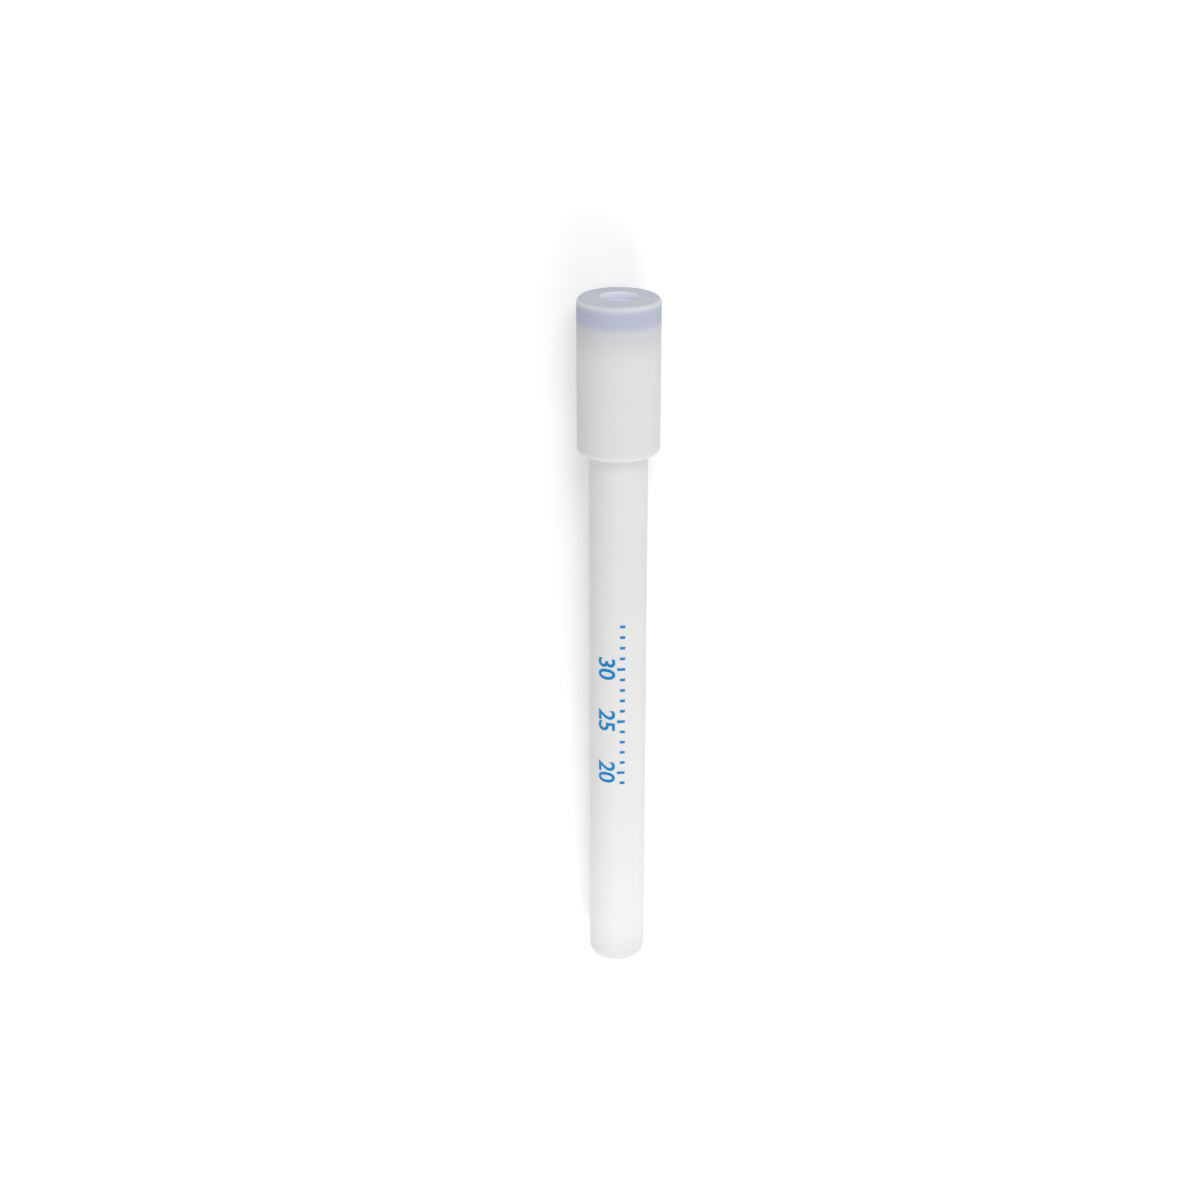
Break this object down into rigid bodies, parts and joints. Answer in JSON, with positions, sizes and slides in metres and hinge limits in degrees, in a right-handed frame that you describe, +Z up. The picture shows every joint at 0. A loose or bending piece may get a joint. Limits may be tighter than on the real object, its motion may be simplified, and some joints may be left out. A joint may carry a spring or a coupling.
{
  "type": "nmr tube",
  "caption": "Thin round sample tube with a domed closed end and a push-on cap that holds a soft septum under its open top.",
  "frame": {"origin": "on the surface the tube lies on, under the middle of its length and width", "axes": "+Z up, +Y along the tube towards its cap; the tube's axis rises towards the cap by about 1.2 degrees, because it rests on its foot and on the wider cap's mouth"},
  "size_m": [0.007, 0.0624, 0.0073],
  "materials": {
    "tube_white": "smooth satin white",
    "cap_milky": "smooth milky white",
    "septum_lilac": "soft lilac blue"
  },
  "bodies": {
    "tube": {"tube": "tube_white"},
    "cap": {"cap": "cap_milky", "septum": "septum_lilac"}
  },
  "joints": [
    {"name": "cap_pull", "type": "slide", "parent": "tube", "child": "cap", "axis": [0, 0.9998, 0.0208], "range_m": [0, 0.03]}
  ]
}
